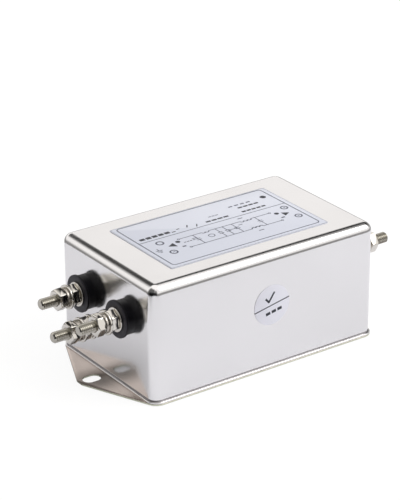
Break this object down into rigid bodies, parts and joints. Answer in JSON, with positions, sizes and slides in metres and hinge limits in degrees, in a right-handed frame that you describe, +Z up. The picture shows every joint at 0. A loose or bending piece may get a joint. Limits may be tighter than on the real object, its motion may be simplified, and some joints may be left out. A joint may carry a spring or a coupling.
{
  "type": "mains line filter",
  "caption": "Mains interference filter in a drawn metal can on a slotted base plate, with insulated threaded stud terminals and an earth stud.",
  "frame": {"origin": "centre of the underside of the base plate, midway between the two fixing slots", "axes": "+X along the can from the line end with the earth stud to the load end, +Z up through the label, -Y towards the side with the round sticker"},
  "size_m": [0.1358, 0.059, 0.0441],
  "materials": {
    "tinplate": "bright drawn sheet with a soft satin reflection",
    "plated_steel": "bright plated flat sheet",
    "label_film": "pale blue printed film",
    "white_paper": "plain white sticker",
    "black_moulding": "black moulded phenolic",
    "nickel_thread": "nickel-plated rolled thread",
    "nickel_hardware": "bright nickel plate",
    "spring_steel": "plated spring steel",
    "grey_moulding": "dark moulded phenolic",
    "brass_strip": "plain rolled brass",
    "fishpaper": "pale pressed insulating board",
    "white_moulding": "natural white nylon",
    "board_laminate": "glass laminate board",
    "ferrite": "dark coated ferrite",
    "enamelled_copper": "enamelled copper wire",
    "capacitor_case": "yellow moulded box",
    "disc_coating": "blue dipped coating",
    "resistor_coating": "tan lacquer"
  },
  "bodies": {
    "root": {"case": "tinplate", "base_plate": "plated_steel", "rating_label": "label_film", "inspection_sticker": "white_paper", "bushing_line_near": "black_moulding", "bushing_line_far": "black_moulding", "bushing_load_near": "black_moulding", "bushing_load_far": "black_moulding", "stud_line_near": "nickel_thread", "stud_line_far": "nickel_thread", "stud_load_near": "nickel_thread", "stud_load_far": "nickel_thread", "earth_stud": "nickel_thread", "seat_washers": "nickel_hardware", "clamp_nuts": "nickel_hardware", "flat_washers": "nickel_hardware", "spring_washers": "spring_steel", "wire_nuts": "nickel_hardware", "earth_fixing_nut": "nickel_hardware", "inner_insulators": "grey_moulding", "inner_washers": "nickel_hardware", "inner_nuts": "nickel_hardware", "strip_line_near": "brass_strip", "strip_line_far": "brass_strip", "strip_load_near": "brass_strip", "strip_load_far": "brass_strip", "earth_strip": "brass_strip", "insulating_sheet": "fishpaper", "board_feet": "white_moulding", "carrier_board": "board_laminate", "choke_core": "ferrite", "choke_divider": "white_moulding", "choke_winding_near": "enamelled_copper", "choke_winding_far": "enamelled_copper", "box_capacitor_line": "capacitor_case", "box_capacitor_load": "capacitor_case", "disc_capacitor_near": "disc_coating", "disc_capacitor_far": "disc_coating", "bleed_resistor": "resistor_coating"}
  },
  "joints": []
}
